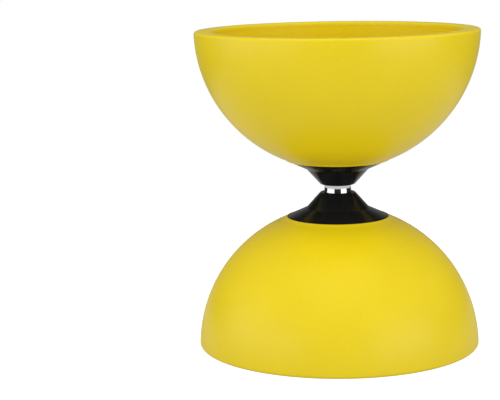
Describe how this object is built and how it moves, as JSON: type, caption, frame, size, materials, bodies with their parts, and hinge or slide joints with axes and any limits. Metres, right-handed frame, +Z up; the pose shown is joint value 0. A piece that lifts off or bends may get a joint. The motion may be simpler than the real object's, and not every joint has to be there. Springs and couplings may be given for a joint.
{
  "type": "diabolo",
  "caption": "Two bowl-shaped cups joined mouth outwards by cone hubs on a clamped rod, with a free-spinning steel sleeve between the hub lips for the string.",
  "frame": {"origin": "centre of the lower cup's flat rim, on the surface that the diabolo stands on", "axes": "+Z up along the axle, from the lower cup to the upper cup; +X and +Y are any two directions across the round shape"},
  "size_m": [0.13, 0.13, 0.1458],
  "materials": {
    "cup_rubber": "matte moulded, fine grain, yellow",
    "hub_plastic": "semi-gloss moulded, black",
    "plate_plastic": "matte moulded, black",
    "sleeve_chrome": "mirror polished",
    "bearing_steel": "ground and polished",
    "shield_steel": "stamped, bright",
    "fastener_steel": "zinc plated",
    "cage_brass": "stamped",
    "nylon": "natural nylon"
  },
  "bodies": {
    "halves": {"cup_upper": "cup_rubber", "cup_lower": "cup_rubber", "hub_cone_upper": "hub_plastic", "hub_cone_lower": "hub_plastic", "axle_rod": "fastener_steel", "middle_spacer": "bearing_steel", "inner_race_upper": "bearing_steel", "race_spacer_upper": "bearing_steel", "clamp_plate_upper": "plate_plastic", "washer_upper": "fastener_steel", "lock_nut_upper": "fastener_steel", "nut_insert_upper": "nylon", "inner_race_lower": "bearing_steel", "race_spacer_lower": "bearing_steel", "clamp_plate_lower": "plate_plastic", "washer_lower": "fastener_steel", "lock_nut_lower": "fastener_steel", "nut_insert_lower": "nylon"},
    "sleeve": {"axle_sleeve": "sleeve_chrome", "outer_race_upper": "bearing_steel", "outer_shield_upper": "shield_steel", "inner_shield_upper": "shield_steel", "outer_race_lower": "bearing_steel", "outer_shield_lower": "shield_steel", "inner_shield_lower": "shield_steel"},
    "cage_upper": {"ball_cage_upper": "cage_brass", "ball_set_upper": "bearing_steel"},
    "cage_lower": {"ball_cage_lower": "cage_brass", "ball_set_lower": "bearing_steel"}
  },
  "joints": [
    {"name": "sleeve_spin", "type": "hinge", "parent": "halves", "child": "sleeve", "pos_m": [0, 0, 0.0729], "axis": [0, 0, 1], "continuous": true},
    {"name": "cage_spin_upper", "type": "hinge", "parent": "halves", "child": "cage_upper", "pos_m": [0, 0, 0.0749], "axis": [0, 0, 1], "continuous": true},
    {"name": "cage_spin_lower", "type": "hinge", "parent": "halves", "child": "cage_lower", "pos_m": [0, 0, 0.0709], "axis": [0, 0, 1], "continuous": true}
  ],
  "couplings": [
    {"joint": "cage_spin_upper", "follows": "sleeve_spin", "ratio": 0.575},
    {"joint": "cage_spin_lower", "follows": "sleeve_spin", "ratio": 0.575}
  ]
}
